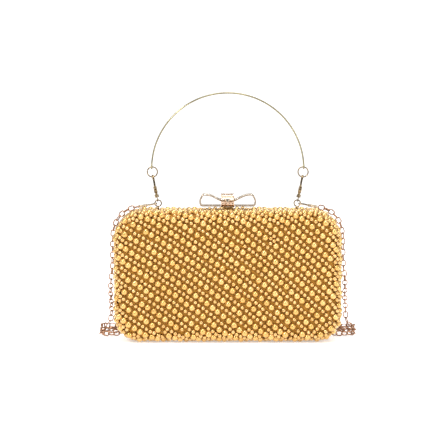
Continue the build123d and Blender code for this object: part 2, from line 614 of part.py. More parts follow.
HANK_FRONT_Y, HANK_BACK_Y, HANK_HALF_LENGTH = 27.0, 46.0, 106.0
HANK_END_RADIUS = 12.0
HANK_END_X, HANK_END_Y = 102.5, 29.0
with BuildPart() as hank:
    with BuildSketch(Plane.XY):
        with Locations((0, (HANK_FRONT_Y + HANK_BACK_Y) / 2)):
            Rectangle(2 * HANK_HALF_LENGTH, HANK_BACK_Y - HANK_FRONT_Y)
        with Locations((-HANK_END_X, HANK_END_Y), (HANK_END_X, HANK_END_Y)):
            Circle(HANK_END_RADIUS)
    extrude(amount=HANK_TOP)
save(hank, "chain_hank")
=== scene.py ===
"""Looks of the evening bag: beaded skins, pave bow, chain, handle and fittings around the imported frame."""

import math
import random

import bmesh
import bpy
import numpy as np
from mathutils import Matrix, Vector
from mathutils.bvhtree import BVHTree
from mathutils.kdtree import KDTree


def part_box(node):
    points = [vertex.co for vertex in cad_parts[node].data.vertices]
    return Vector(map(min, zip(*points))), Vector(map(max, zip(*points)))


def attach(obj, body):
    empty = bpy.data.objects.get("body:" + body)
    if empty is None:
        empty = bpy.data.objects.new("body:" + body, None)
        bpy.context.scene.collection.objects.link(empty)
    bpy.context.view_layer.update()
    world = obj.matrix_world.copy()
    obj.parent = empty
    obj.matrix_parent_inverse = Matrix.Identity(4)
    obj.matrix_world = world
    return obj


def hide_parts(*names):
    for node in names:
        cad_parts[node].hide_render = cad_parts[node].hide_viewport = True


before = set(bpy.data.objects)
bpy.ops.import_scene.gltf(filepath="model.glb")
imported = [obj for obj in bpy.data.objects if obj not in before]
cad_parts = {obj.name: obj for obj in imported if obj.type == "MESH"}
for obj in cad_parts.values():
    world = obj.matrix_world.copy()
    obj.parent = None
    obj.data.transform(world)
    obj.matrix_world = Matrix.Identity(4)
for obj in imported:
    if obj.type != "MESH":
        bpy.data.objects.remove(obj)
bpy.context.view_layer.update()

MM = 0.001
SIDES = {"left": -1, "right": 1}

# ---- The bag's form, in millimetres, as the CAD covers have it ----
cover_low, cover_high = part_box("rear_pearl_cover")
BAG_HALF_WIDTH = cover_high.x / MM
BAG_HEIGHT = cover_high.z / MM
FACE_Y = cover_high.y / MM                  # outer face of each half, from the middle
RIM_Y = cover_low.y / MM                    # where each cover meets its frame
TOP_RADIUS, BOTTOM_RADIUS, EDGE_RADIUS = 27.0, 23.0, 10.5
FLAT_HALF_WIDTH = BAG_HALF_WIDTH - EDGE_RADIUS
FLAT_TOP, FLAT_BOTTOM = BAG_HEIGHT - EDGE_RADIUS, EDGE_RADIUS
ROUND_LENGTH = EDGE_RADIUS * math.pi / 2
WALL_LENGTH = FACE_Y - EDGE_RADIUS - RIM_Y
SKIN_LENGTH = ROUND_LENGTH + WALL_LENGTH    # from the flat face's border to the rim, along the skin


# ---- Small helpers ----
def new_object(name, vertices, faces, smooth=True):
    """Mesh object from arrays of points in metres and faces."""
    mesh = bpy.data.meshes.new(name)
    mesh.from_pydata([tuple(p) for p in vertices], [], [tuple(f) for f in faces])
    mesh.validate()
    mesh.update()
    if smooth:
        mesh.shade_smooth()
    piece = bpy.data.objects.new(name, mesh)
    bpy.context.scene.collection.objects.link(piece)
    return piece


def place(piece, body, slot, material, *replaced):
    """Give a finished piece its material, body and the CAD nodes that it stands for; slot is not used."""
    piece.data.materials.clear()
    piece.data.materials.append(material)
    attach(piece, body)
    if replaced:
        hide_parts(*replaced)
    return piece


def frames_along(points, closed=False):
    """Unit tangents and two turning normals along a line of points, without twist."""
    points = np.asarray(points, float)
    if closed:
        tangents = np.roll(points, -1, 0) - np.roll(points, 1, 0)
    else:
        tangents = np.gradient(points, axis=0)
    tangents /= np.linalg.norm(tangents, axis=1)[:, None]
    start = np.cross(tangents[0], [0.0, 0.0, 1.0])
    if np.linalg.norm(start) < 0.1:
        start = np.cross(tangents[0], [1.0, 0.0, 0.0])
    normal = start / np.linalg.norm(start)
    normals = []
    for tangent in tangents:
        normal = normal - tangent * (normal @ tangent)
        normal /= np.linalg.norm(normal)
        normals.append(normal)
    normals = np.array(normals)
    return tangents, normals, np.cross(tangents, normals)


def tube_mesh(points, radius, sides=10, closed=False):
    """Vertices and faces of a round tube along points. radius is one value or one for each point."""
    points = np.asarray(points, float)
    _, across, up = frames_along(points, closed)
    radii = np.broadcast_to(np.asarray(radius, float), (len(points),))
    angles = np.arange(sides) * 2 * math.pi / sides
    ring = np.cos(angles)[None, :, None] * across[:, None, :] + np.sin(angles)[None, :, None] * up[:, None, :]
    vertices = (points[:, None, :] + ring * radii[:, None, None]).reshape(-1, 3)
    count = len(points)
    faces = []
    for i in range(count if closed else count - 1):
        a, b = i * sides, (i + 1) % count * sides
        faces += [(a + j, a + (j + 1) % sides, b + (j + 1) % sides, b + j) for j in range(sides)]
    if not closed:
        faces.append(tuple(range(sides))[::-1])
        faces.append(tuple(range((count - 1) * sides, count * sides)))
    return vertices, faces


def walk_along(line):
    """Length walked up to each point of a line."""
    return np.concatenate([[0], np.cumsum(np.linalg.norm(np.diff(line, axis=0), axis=1))])


def value_at(length, walk, values):
    """Values given for the points of a line, read off at one or more lengths walked."""
    return np.stack([np.interp(length, walk, column) for column in values.T], -1)


class Batch:
    """Collects many small closed forms into one mesh, with one tint value for each form."""

    def __init__(self):
        self.vertices, self.faces, self.tints, self.count = [], [], [], 0

    def add(self, vertices, faces, tint=0.5):
        base = self.count
        self.vertices.append(np.asarray(vertices, float))
        self.faces += [tuple(base + k for k in face) for face in faces]
        self.tints.append(np.full(len(vertices), tint))
        self.count += len(vertices)

    def build(self, name, smooth=True):
        piece = new_object(name, np.concatenate(self.vertices), self.faces, smooth)
        attribute = piece.data.attributes.new("tint", "FLOAT", "POINT")
        attribute.data.foreach_set("value", np.concatenate(self.tints).astype(np.float32))
        return piece


# ---- Skin: a flat pattern plane wrapped over the face, the rounded edge and the wall ----
ARC_STEPS = 24
CORNER_SHARE = 12                           # weight of turning against length in the walk round the outline


def wrap(u, v, facing):
    """Point and outward normal on the envelope for pattern coordinates, and how far past the flat face."""
    u, v = np.asarray(u, float), np.asarray(v, float)
    upper = v > BAG_HEIGHT / 2
    corner = np.where(upper, TOP_RADIUS, BOTTOM_RADIUS) - EDGE_RADIUS
    corner_x = FLAT_HALF_WIDTH - corner
    corner_z = np.where(upper, FLAT_TOP - corner, FLAT_BOTTOM + corner)
    side_x = np.sign(u) + (u == 0)
    side_z = np.where(upper, 1.0, -1.0)
    past_x = np.abs(u) - corner_x
    past_z = (v - corner_z) * side_z
    in_corner = (past_x > 0) & (past_z > 0)
    reach = np.hypot(past_x, past_z)
    along_side = past_x >= past_z
    distance = np.where(in_corner, reach - corner, np.maximum(past_x, past_z) - corner)
    safe = np.where(reach > 1e-9, reach, 1.0)
    normal_x = np.where(in_corner, past_x / safe, along_side.astype(float)) * side_x
    normal_z = np.where(in_corner, past_z / safe, 1.0 - along_side) * side_z
    beyond = np.maximum(distance, 0.0)
    angle = np.minimum(beyond / EDGE_RADIUS, math.pi / 2)
    drop = np.maximum(beyond - ROUND_LENGTH, 0.0)
    shift = -beyond + EDGE_RADIUS * np.sin(angle)
    point = np.stack([
        u + normal_x * shift,
        facing * (FACE_Y - EDGE_RADIUS + EDGE_RADIUS * np.cos(angle) - drop),
        v + normal_z * shift,
    ], -1)
    normal = np.stack([normal_x * np.sin(angle), facing * np.cos(angle), normal_z * np.sin(angle)], -1)
    return point, normal, distance


def outline_points(count, distance):
    """Pattern coordinates of an even walk round the flat face's border, moved out by distance."""
    top, bottom = TOP_RADIUS - EDGE_RADIUS, BOTTOM_RADIUS - EDGE_RADIUS
    arcs = [
        (FLAT_HALF_WIDTH - top, FLAT_TOP - top, top, 0),
        (-FLAT_HALF_WIDTH + top, FLAT_TOP - top, top, 90),
        (-FLAT_HALF_WIDTH + bottom, FLAT_BOTTOM + bottom, bottom, 180),
        (FLAT_HALF_WIDTH - bottom, FLAT_BOTTOM + bottom, bottom, 270),
    ]
    line = []
    for x, z, radius, start in arcs:
        for step in range(ARC_STEPS + 1):
            angle = math.radians(start + 90 * step / ARC_STEPS)
            line.append((x + radius * math.cos(angle), z + radius * math.sin(angle),
                         math.cos(angle), math.sin(angle)))
    line = np.array(line + line[:1])
    walk = walk_along(line[:, :2] + CORNER_SHARE * line[:, 2:])
    u, v, out_u, out_v = value_at(np.linspace(0, walk[-1], count, endpoint=False), walk, line).T
    return u + out_u * distance, v + out_v * distance


def skin_layer(facing, depth, ripple, count, rings_round, rings_face):
    """Grid of one layer of a half's skin: from the rim over the edge to the middle of the face."""
    rows = []
    for distance in np.linspace(SKIN_LENGTH, 0, rings_round):
        rows.append(outline_points(count, distance))
    border_u, border_v = rows[-1]
    middle = BAG_HEIGHT / 2
    for share in np.linspace(1, 0, rings_face + 1)[1:-1]:
        rows.append((border_u * share, middle + (border_v - middle) * share))
    layer = []
    for u, v in rows:
        point, normal, _ = wrap(u, v, facing)
        layer.append(point - normal * (depth + ripple(u, v))[:, None])
    return np.array(layer)


def flat(u, v):
    """No ripple."""
    return np.zeros(len(u))


def skin_piece(name, facing, outer_side, inner_side, count, rings_round, rings_face):
    """Closed thin skin below the bag's envelope. Each side is given by its depth and its ripple."""
    outer = skin_layer(facing, *outer_side, count, rings_round, rings_face)
    inner = skin_layer(facing, *inner_side, count, rings_round, rings_face)
    rings = len(outer)
    vertices = np.concatenate([outer.reshape(-1, 3), inner.reshape(-1, 3)]) * MM
    faces = []
    half = rings * count
    for layer in (0, 1):
        base = layer * half
        for i in range(rings - 1):
            for j in range(count):
                a = base + i * count + j
                b = base + i * count + (j + 1) % count
                quad = (a, b, b + count, a + count)
                faces.append(quad if (layer == 0) == (facing > 0) else quad[::-1])
        last = tuple(base + (rings - 1) * count + j for j in range(count))
        faces.append(last if (layer == 0) == (facing > 0) else last[::-1])
    for j in range(count):
        a, b = j, (j + 1) % count
        quad = (b, a, half + a, half + b)
        faces.append(quad if facing > 0 else quad[::-1])
    return new_object(name, vertices, faces)


# ---- Materials ----
def principled(name, color, **values):
    """New material with a Principled shader; values are its sockets by name, with underscores for spaces."""
    material = bpy.data.materials.new(name)
    material.use_nodes = True
    shader = material.node_tree.nodes["Principled BSDF"]
    shader.inputs["Base Color"].default_value = (*color, 1.0)
    for key, value in values.items():
        shader.inputs[key.replace("_", " ")].default_value = value
    return material, material.node_tree, shader


def node(tree, kind, **inputs):
    """New node of a kind with its input values set by name."""
    made = tree.nodes.new(kind)
    for key, value in inputs.items():
        made.inputs[key.replace("_", " ")].default_value = value
    return made


def ramp(tree, factor, *stops):
    """Colour ramp over factor with (position, colour) stops."""
    made = tree.nodes.new("ShaderNodeValToRGB")
    elements = made.color_ramp.elements
    while len(elements) < len(stops):
        elements.new(0.5)
    for element, (position, color) in zip(elements, stops):
        element.position = position
        element.color = (*color, 1.0)
    tree.links.new(factor, made.inputs["Fac"])
    return made.outputs["Color"]


def bump(tree, shader, height, strength, distance):
    """Bump from a height output, over a distance in metres."""
    made = node(tree, "ShaderNodeBump", Strength=strength, Distance=distance)
    tree.links.new(height, made.inputs["Height"])
    tree.links.new(made.outputs["Normal"], shader.inputs["Normal"])


def object_noise(tree, scale, detail=3.0, roughness=0.5):
    """Noise over the object's own coordinates."""
    coordinates = tree.nodes.new("ShaderNodeTexCoord")
    noise = node(tree, "ShaderNodeTexNoise", Scale=scale, Detail=detail, Roughness=roughness)
    tree.links.new(coordinates.outputs["Object"], noise.inputs["Vector"])
    return noise.outputs["Fac"]


def pearl_material(name, dark, middle, light):
    """Lacquered golden pearl whose tint changes from bead to bead and with a faint swirl over each."""
    material, tree, shader = principled(
        name, middle, Roughness=0.2, Metallic=0.7, Coat_Weight=0.6, Coat_Roughness=0.07, IOR=1.5,
    )
    tint = tree.nodes.new("ShaderNodeAttribute")
    tint.attribute_name = "tint"
    mixed = tree.nodes.new("ShaderNodeMix")
    mixed.inputs["Factor"].default_value = 0.4
    tree.links.new(tint.outputs["Fac"], mixed.inputs["A"])
    tree.links.new(object_noise(tree, scale=260.0, detail=2.0), mixed.inputs["B"])
    color = ramp(tree, mixed.outputs["Result"], (0.0, dark), (0.5, middle), (1.0, light))
    tree.links.new(color, shader.inputs["Base Color"])
    bump(tree, shader, object_noise(tree, scale=900.0, detail=2.0), strength=0.06, distance=0.0002)
    return material


def fabric_material(name, dark, light, threads, sheen, roughness):
    """Woven cloth: two crossed thread waves over the object's coordinates, colour and bump."""
    material, tree, shader = principled(
        name, light, Roughness=roughness, Sheen_Weight=sheen, Sheen_Roughness=0.4,
    )
    coordinates = tree.nodes.new("ShaderNodeTexCoord")
    waves = []
    for direction in ("X", "Z"):
        wave = node(tree, "ShaderNodeTexWave", Scale=threads, Distortion=0.6, Detail=1.0)
        wave.bands_direction = direction
        tree.links.new(coordinates.outputs["Object"], wave.inputs["Vector"])
        waves.append(wave.outputs["Fac"])
    weave = tree.nodes.new("ShaderNodeMath")
    weave.operation = "MULTIPLY"
    tree.links.new(waves[0], weave.inputs[0])
    tree.links.new(waves[1], weave.inputs[1])
    cloud = tree.nodes.new("ShaderNodeMath")
    cloud.operation = "MULTIPLY_ADD"
    cloud.inputs[1].default_value = 0.6
    tree.links.new(object_noise(tree, scale=60.0, detail=4.0), cloud.inputs[0])
    tree.links.new(weave.outputs[0], cloud.inputs[2])
    color = ramp(tree, cloud.outputs[0], (0.1, dark), (1.0, light))
    tree.links.new(color, shader.inputs["Base Color"])
    bump(tree, shader, weave.outputs[0], strength=0.5, distance=0.0002)
    return material


def metal_material(name, color, dark, roughness, scale=300.0):
    """Polished plated metal with faint tarnish in its colour and fine scratches in its bump."""
    material, tree, shader = principled(name, color, Roughness=roughness, Metallic=1.0)
    shade = ramp(tree, object_noise(tree, scale, detail=4.0), (0.3, dark), (0.62, color))
    tree.links.new(shade, shader.inputs["Base Color"])
    bump(tree, shader, object_noise(tree, scale=2500.0, detail=2.0), strength=0.06, distance=0.0001)
    return material


def stone_material(name, low, middle, high):
    """Foiled cut stones: bright facets with a cooler or warmer cast from stone to stone."""
    material, tree, shader = principled(name, middle, Roughness=0.05, Metallic=0.8, Coat_Weight=1.0)
    tint = tree.nodes.new("ShaderNodeAttribute")
    tint.attribute_name = "tint"
    color = ramp(tree, tint.outputs["Fac"], (0.0, low), (0.5, middle), (1.0, high))
    tree.links.new(color, shader.inputs["Base Color"])
    return material


def board_material():
    """Dark moulded board of the hard shells."""
    material, tree, shader = principled("shell_board", (0.10, 0.07, 0.05), Roughness=0.7)
    patches = object_noise(tree, scale=150.0, detail=5.0)
    color = ramp(tree, patches, (0.3, (0.06, 0.04, 0.03)), (0.7, (0.14, 0.10, 0.07)))
    tree.links.new(color, shader.inputs["Base Color"])
    bump(tree, shader, object_noise(tree, scale=1200.0, detail=3.0), strength=0.3, distance=0.0002)
    return material


LARGE_PEARL = pearl_material("large_pearl", (0.53, 0.30, 0.065), (0.605, 0.36, 0.10), (0.67, 0.435, 0.15))
SMALL_PEARL = pearl_material("small_pearl", (0.52, 0.295, 0.075), (0.60, 0.365, 0.12), (0.67, 0.44, 0.175))
BACKING = fabric_material(
    "amber_backing", (0.30, 0.125, 0.003), (0.56, 0.26, 0.012),
    threads=260.0, sheen=0.2, roughness=0.7,
)
SATIN = fabric_material(
    "satin_lining", (0.40, 0.25, 0.11), (0.62, 0.44, 0.23),
    threads=420.0, sheen=0.8, roughness=0.38,
)
THREAD = fabric_material(
    "sewing_thread", (0.34, 0.19, 0.05), (0.56, 0.36, 0.12),
    threads=900.0, sheen=0.4, roughness=0.6,
)
FRAME_METAL = metal_material("frame_metal", (0.52, 0.33, 0.11), (0.32, 0.19, 0.06), roughness=0.3)
BOW_METAL = metal_material("bow_metal", (0.46, 0.37, 0.28), (0.22, 0.16, 0.11), roughness=0.24, scale=500.0)
# Lighter bar metal; on the knot's base it is painted light over the shade there.
BAR_METAL = metal_material("bar_metal", (0.74, 0.60, 0.46), (0.46, 0.35, 0.25), roughness=0.2, scale=500.0)
ROSE_METAL = metal_material("rose_metal", (0.70, 0.50, 0.36), (0.30, 0.15, 0.07), roughness=0.26, scale=500.0)
HARDWARE_METAL = metal_material(
    "hardware_metal", (0.30, 0.22, 0.12), (0.10, 0.07, 0.04), roughness=0.16, scale=400.0,
)
HANDLE_METAL = metal_material(
    "handle_metal", (0.33, 0.29, 0.17), (0.20, 0.17, 0.10), roughness=0.2, scale=150.0,
)
CHAIN_METAL = metal_material(
    "chain_metal", (0.48, 0.27, 0.16), (0.20, 0.10, 0.055), roughness=0.2, scale=500.0,
)
CLASP_METAL = metal_material(
    "clasp_metal", (0.60, 0.48, 0.34), (0.30, 0.23, 0.16), roughness=0.2, scale=500.0,
)
STEEL = metal_material("steel", (0.42, 0.40, 0.37), (0.26, 0.25, 0.23), roughness=0.3)
CLEAR_STONE = stone_material("clear_stone", (0.22, 0.18, 0.14), (0.48, 0.42, 0.34), (0.80, 0.75, 0.68))
SMOKE_STONE = stone_material("smoke_stone", (0.03, 0.025, 0.02), (0.08, 0.065, 0.05), (0.16, 0.13, 0.10))
BOARD = board_material()


# ---- Camera ----
def make_camera():
    """Long lens, slightly above the middle of the bag."""
    elevation = math.radians(5.0)
    distance = 1.8
    field = 0.392                           # width of the view at the bag
    target = Vector((-0.00324, 0, 0.1019))
    lens = bpy.data.cameras.new("camera")
    lens.sensor_width = 36.0
    lens.lens = lens.sensor_width * distance / field
    lens.clip_end = 60.0
    camera = bpy.data.objects.new("camera", lens)
    camera.location = target + distance * Vector((0, -math.cos(elevation), math.sin(elevation)))
    camera.rotation_euler = (math.pi / 2 - elevation, 0, 0)
    bpy.context.scene.collection.objects.link(camera)
    bpy.context.scene.camera = camera


# ---- Shoulder chain ----
CHAIN_DIAMETER = 4.9
LINK_LENGTH, LINK_WIRE, LINK_PITCH = 6.7, 1.05, 4.78
FIRST_LINK = 0.5                            # from the clasp to the first link's middle
LINK_SWAY, SWAY_RATE = 18, 0.37             # roll that comes and goes along the chain, in degrees
HANGING_ROLL, LYING_ROLL = 10, 45           # random roll of each link, in degrees
HEAP_TOP = 11.0                             # links below this height lie loose
CHAIN_LINE = [
    # left clasp, along the groove between the halves, then back behind the left side
    (-79.22, 0.0, 116.95), (-87.1, 0.0, 115.56), (-95.6, 0.0, 108.3), (-100.2, 0.0, 98.2),
    (-100.7, 0.0, 85.0), (-100.7, 0.0, 72.0), (-101.2, 0.2, 60.5), (-102.7, 1.8, 50.5),
    (-103.2, 8.0, 41.0), (-103.2, 16.8, 31.0), (-103.2, 25.2, 21.0),
    # round the top of the left heap
    (-104.4, 24.9, 11.8), (-111.5, 26.5, 8.0), (-113.0, 34.5, 7.6), (-106.0, 39.5, 7.4), (-98.4, 36.0, 7.0),
    (-97.6, 27.5, 6.4), (-104.0, 21.8, 5.6), (-111.8, 24.5, 5.1), (-113.2, 32.8, 5.0), (-107.5, 39.2, 5.0),
    # along the floor at the back
    (-98.0, 40.6, 4.6), (-84.0, 42.2, 3.0), (-72.0, 43.4, 2.5),
    (-48.0, 42.2, 2.5), (-18.0, 43.6, 2.5), (14.0, 42.4, 2.5), (46.0, 43.6, 2.5), (74.0, 42.6, 2.5),
    # right loop, out past the side of the bag
    (92.0, 43.6, 2.5), (104.0, 43.0, 2.5), (112.0, 37.0, 2.5), (113.4, 28.0, 2.5), (108.6, 20.6, 2.5),
    (99.6, 19.8, 2.5), (90.0, 25.4, 2.5),
    # back along the front
    (74.0, 29.6, 2.5), (44.0, 28.8, 2.5), (12.0, 30.0, 2.5), (-20.0, 28.9, 2.5), (-50.0, 30.0, 2.5),
    (-76.0, 28.8, 2.5),
    # left loop
    (-90.0, 24.6, 2.5), (-99.4, 19.4, 2.5), (-108.6, 19.8, 2.5), (-113.6, 27.2, 2.5), (-111.6, 35.6, 2.5),
    (-103.6, 39.8, 2.5), (-93.0, 38.6, 2.5), (-78.0, 36.2, 2.5),
    # along the middle
    (-52.0, 36.8, 2.5), (-22.0, 35.8, 2.5), (10.0, 36.8, 2.5), (42.0, 35.8, 2.5), (72.0, 36.6, 2.5),
    # round the top of the right heap
    (88.0, 38.4, 2.8), (98.0, 40.6, 4.4), (107.5, 39.2, 5.0), (113.2, 32.8, 5.0), (111.8, 24.5, 5.1),
    (104.0, 21.8, 5.6), (97.6, 27.5, 6.4), (98.4, 36.0, 7.0), (106.0, 39.5, 7.4), (113.2, 34.4, 7.6),
    (110.6, 26.2, 8.6), (105.4, 25.8, 12.8),
    # up the right side and along the groove to the right clasp
    (105.0, 27.4, 22.0), (103.8, 18.2, 34.0), (103.5, 9.2, 44.5), (102.9, 2.2, 54.5), (101.5, 0.2, 64.0),
    (100.9, 0.0, 74.0), (100.8, 0.0, 85.0), (100.3, 0.0, 98.2), (95.6, 0.0, 108.3), (87.1, 0.0, 115.56),
    (79.22, 0.0, 116.95),
]


def smooth_line(name, points):
    """Points along a NURBS spline through a given route, in metres."""
    curve = bpy.data.curves.new(name, "CURVE")
    curve.dimensions = "3D"
    curve.resolution_u = 24
    spline = curve.splines.new("NURBS")
    spline.points.add(len(points) - 1)
    for target, point in zip(spline.points, points):
        target.co = (*(value * MM for value in point), 1.0)
    spline.order_u = 3
    spline.use_endpoint_u = True
    holder = bpy.data.objects.new(name, curve)
    bpy.context.scene.collection.objects.link(holder)
    bpy.context.view_layer.update()
    mesh = bpy.data.meshes.new_from_object(holder)
    line = np.array([vertex.co for vertex in mesh.vertices], float)
    bpy.data.objects.remove(holder)
    bpy.data.meshes.remove(mesh)
    return line


def even_points(line, spacing, offset):
    """Points spaced evenly along a line, and the line's length."""
    walk = walk_along(line)
    return value_at(np.arange(offset, walk[-1], spacing), walk, line), walk[-1]


def link_mesh(length, width, wire, sides=8, turns=8):
    """Vertices and faces of one oval link in the XY plane, long along X, at the origin."""
    half_straight = (length - width) / 2
    radius = width / 2 - wire / 2
    loop = []
    for end in (1, -1):
        for step in range(turns + 1):
            angle = math.pi * (step / turns - 0.5)
            x = end * (half_straight + radius * math.cos(angle))
            loop.append((x, end * radius * math.sin(angle), 0.0))
    return tube_mesh(loop, wire / 2, sides, closed=True)


def make_chain():
    """Cable chain of oval links, each turned a quarter from the last, lying along one smooth line."""
    line = smooth_line("chain_line", CHAIN_LINE)
    centres, length = even_points(line, LINK_PITCH * MM, FIRST_LINK * MM)
    tangents, across, _ = frames_along(line)
    walk = walk_along(line)
    vertices, faces = link_mesh(LINK_LENGTH * MM, CHAIN_DIAMETER * MM, LINK_WIRE * MM)
    rng = random.Random(11)
    links = Batch()
    for number, centre in enumerate(centres):
        at = FIRST_LINK * MM + number * LINK_PITCH * MM
        tangent = value_at(at, walk, tangents)
        side = value_at(at, walk, across)
        tangent /= np.linalg.norm(tangent)
        side -= tangent * (side @ tangent)
        side /= np.linalg.norm(side)
        up = np.cross(tangent, side)
        roll = HANGING_ROLL if centre[2] > HEAP_TOP * MM else LYING_ROLL
        sway = LINK_SWAY * math.sin(SWAY_RATE * number)
        turn = math.radians(sway + 90 * (number % 2) + rng.uniform(-roll, roll))
        width = side * math.cos(turn) + up * math.sin(turn)
        normal = np.cross(tangent, width)
        links.add(vertices @ np.array([tangent, width, normal]) + centre, faces, rng.random())
    chain = links.build("shoulder_chain")
    place(chain, "root", "chain_metal", CHAIN_METAL, "chain_run_left", "chain_run_right", "chain_hank")


# ---- Beads ----
LARGE_BEAD, SMALL_BEAD = 6.0, 3.85
LARGE_PITCH, SMALL_PITCH = 6.06, 4.2
ROW_PITCH, ROW_COUNT = 10.9, 44             # rows of large beads, with the rows of small ones between them
FIRST_ROW = 470.0                           # radius of the innermost row
ROW_CENTRE = (-442.0, -521.0)               # the rows are arcs about this point of the pattern plane
ROW_WANDER, BEAD_WANDER = 0.22, 0.035       # across the row in millimetres, along it in radians for each step
GAP_CHANCE = 0.001
SIZE_SPREAD = (-0.04, 0.03)
BACKING_DEPTH, COVER_DEPTH = 4.7, 5.4       # outer and inner side of the fabric below the envelope
SMALL_SINK = 0.15                           # how deep a small bead sits in the fabric
RIM_GAP, RIM_ROW_GAP = 0.1, 0.15            # least room to the rim, and the rim row's own
DIAMETERS = {"large": LARGE_BEAD, "small": SMALL_BEAD}
SEATS = {"large": LARGE_BEAD / 2, "small": BACKING_DEPTH - SMALL_BEAD / 2 - SMALL_SINK}
CLOSEST, FILL_CLOSEST = 0.84, 0.88          # least distance of two beads, as a share of their radii together
CELL = 6.5                                  # edge of the cubes that sort the beads by place
CELL_SHIFTS = [(i, j, k) for i in (-1, 0, 1) for j in (-1, 0, 1) for k in (-1, 0, 1)]
FILL_TRIES = 60000
RIM_BEADS = 150
THREAD_RADIUS, THREAD_REACH = 0.22, 1.9     # the second in bead diameters


def bead_mesh(radius, segments, rings):
    """Vertices and faces of a drilled bead at the origin, its hole along X."""
    hole = 0.12
    pit_x, pit_radius = 0.80, hole * 0.8    # the bottom of the hole's mouth
    profile = [(-pit_x, pit_radius)]
    for step in range(rings + 1):
        angle = math.asin(hole) + (math.pi - 2 * math.asin(hole)) * step / rings
        profile.append((-math.cos(angle), math.sin(angle)))
    profile.append((pit_x, pit_radius))
    angles = np.arange(segments) * 2 * math.pi / segments
    vertices = [(x * radius, r * radius * math.cos(angle), r * radius * math.sin(angle))
                for x, r in profile for angle in angles]
    faces = []
    for i in range(len(profile) - 1):
        for j in range(segments):
            a, b = i * segments + j, i * segments + (j + 1) % segments
            faces.append((a, a + segments, b + segments, b))
    faces.append(tuple(range(segments)))
    last = (len(profile) - 1) * segments
    faces.append(tuple(last + j for j in reversed(range(segments))))
    return np.array(vertices), faces


def row_places(radius, pitch, phase, rng):
    """Pattern coordinates of one row's beads, jittered, with a few left out."""
    step = pitch / radius
    angle = phase * step
    places = []
    while angle < math.pi / 2:
        if rng.random() > GAP_CHANCE:
            reach = radius + rng.gauss(0, ROW_WANDER)
            turn = angle + rng.gauss(0, BEAD_WANDER) * step
            u = ROW_CENTRE[0] + reach * math.cos(turn)
            v = ROW_CENTRE[1] + reach * math.sin(turn)
            places.append((u, v, turn))
        angle += step
    return np.array(places)


class BeadCoat:
    """Beads sewn over one half, kept apart from each other."""

    def __init__(self, facing, rng):
        self.facing = facing
        self.rng = rng
        self.batches = {"large": Batch(), "small": Batch()}
        self.forms = {
            "large": bead_mesh(LARGE_BEAD / 2, segments=18, rings=9),
            "small": bead_mesh(SMALL_BEAD / 2, segments=14, rings=7),
        }
        self.cells = {}

    def crowded(self, centre, diameter, closest):
        """Whether a bead here would sink into one already sewn."""
        cell = tuple((centre // CELL).astype(int))
        for shift in CELL_SHIFTS:
            for other, size in self.cells.get(tuple(np.add(cell, shift)), ()):
                if np.linalg.norm(centre - other) < closest * (diameter + size) / 2:
                    return True
        return False

    def sew(self, size, u, v, turn, closest=CLOSEST):
        """Add one bead at a pattern point, unless the rim or a neighbour is in its way."""
        diameter = DIAMETERS[size]
        if abs(u) > FLAT_HALF_WIDTH + SKIN_LENGTH:
            return None
        if not FLAT_BOTTOM - SKIN_LENGTH < v < FLAT_TOP + SKIN_LENGTH:
            return None
        point, normal, distance = wrap(u, v, self.facing)
        if distance > SKIN_LENGTH - diameter / 2 - RIM_GAP:
            return None
        centre = point - normal * SEATS[size]
        if self.crowded(centre, diameter, closest):
            return None
        ahead, _, _ = wrap(u - math.sin(turn), v + math.cos(turn), self.facing)
        along = ahead - point
        along -= normal * (along @ normal)
        along /= np.linalg.norm(along)
        vertices, faces = self.forms[size]
        scaled = vertices * (1 + self.rng.uniform(*SIZE_SPREAD))
        turned = scaled @ np.array([along, np.cross(normal, along), normal])
        self.batches[size].add((turned + centre) * MM, faces, self.rng.random())
        self.cells.setdefault(tuple((centre // CELL).astype(int)), []).append((centre, diameter))
        return centre

    def bare_places(self, seed):
        """Random pattern points where no bead is near yet."""
        draw = np.random.default_rng(seed)
        u = draw.uniform(-1, 1, FILL_TRIES) * (FLAT_HALF_WIDTH + SKIN_LENGTH)
        v = draw.uniform(FLAT_BOTTOM - SKIN_LENGTH, FLAT_TOP + SKIN_LENGTH, FILL_TRIES)
        point, normal, distance = wrap(u, v, self.facing)
        centre = point - normal * SEATS["small"]
        sewn = [bead for cell in self.cells.values() for bead in cell]
        free = distance < SKIN_LENGTH - SMALL_BEAD / 2
        for size in (LARGE_BEAD, SMALL_BEAD):
            places = [place for place, diameter in sewn if diameter == size]
            tree = KDTree(len(places))
            for number, place in enumerate(places):
                tree.insert(place, number)
            tree.balance()
            nearest = np.array([tree.find(at)[2] for at in centre])
            free &= nearest > FILL_CLOSEST * (size + SMALL_BEAD) / 2
        return list(zip(u[free], v[free]))


def make_beads(half, body, facing, seed):
    """Rows of large and small beads over one half, with their threads and with small ones in what is left."""
    rng = random.Random(seed)
    coat = BeadCoat(facing, rng)
    threads = Batch()
    rows = {"large": (LARGE_PITCH, 0.0), "small": (SMALL_PITCH, ROW_PITCH / 2)}
    for u, v in zip(*outline_points(RIM_BEADS, SKIN_LENGTH - SMALL_BEAD / 2 - RIM_ROW_GAP)):
        coat.sew("small", u, v, 0.0)
    for size, (pitch, shift) in rows.items():
        for ring in range(ROW_COUNT):
            places = row_places(FIRST_ROW + shift + ring * ROW_PITCH, pitch, rng.random(), rng)
            row = [coat.sew(size, *place) for place in places]
            row = [centre for centre in row if centre is not None]
            for a, b in zip(row, row[1:]):
                if np.linalg.norm(b - a) < THREAD_REACH * DIAMETERS[size]:
                    threads.add(*tube_mesh(np.array([a, (a + b) / 2, b]) * MM, THREAD_RADIUS * MM, sides=5))
    for u, v in coat.bare_places(seed):
        coat.sew("small", u, v, 0.0, FILL_CLOSEST)
    place(coat.batches["large"].build(f"{half}_large_pearls"), body, "pearl_cover", LARGE_PEARL)
    place(coat.batches["small"].build(f"{half}_small_pearls"), body, "pearl_cover", SMALL_PEARL)
    place(threads.build(f"{half}_bead_threads"), body, "pearl_cover", THREAD)


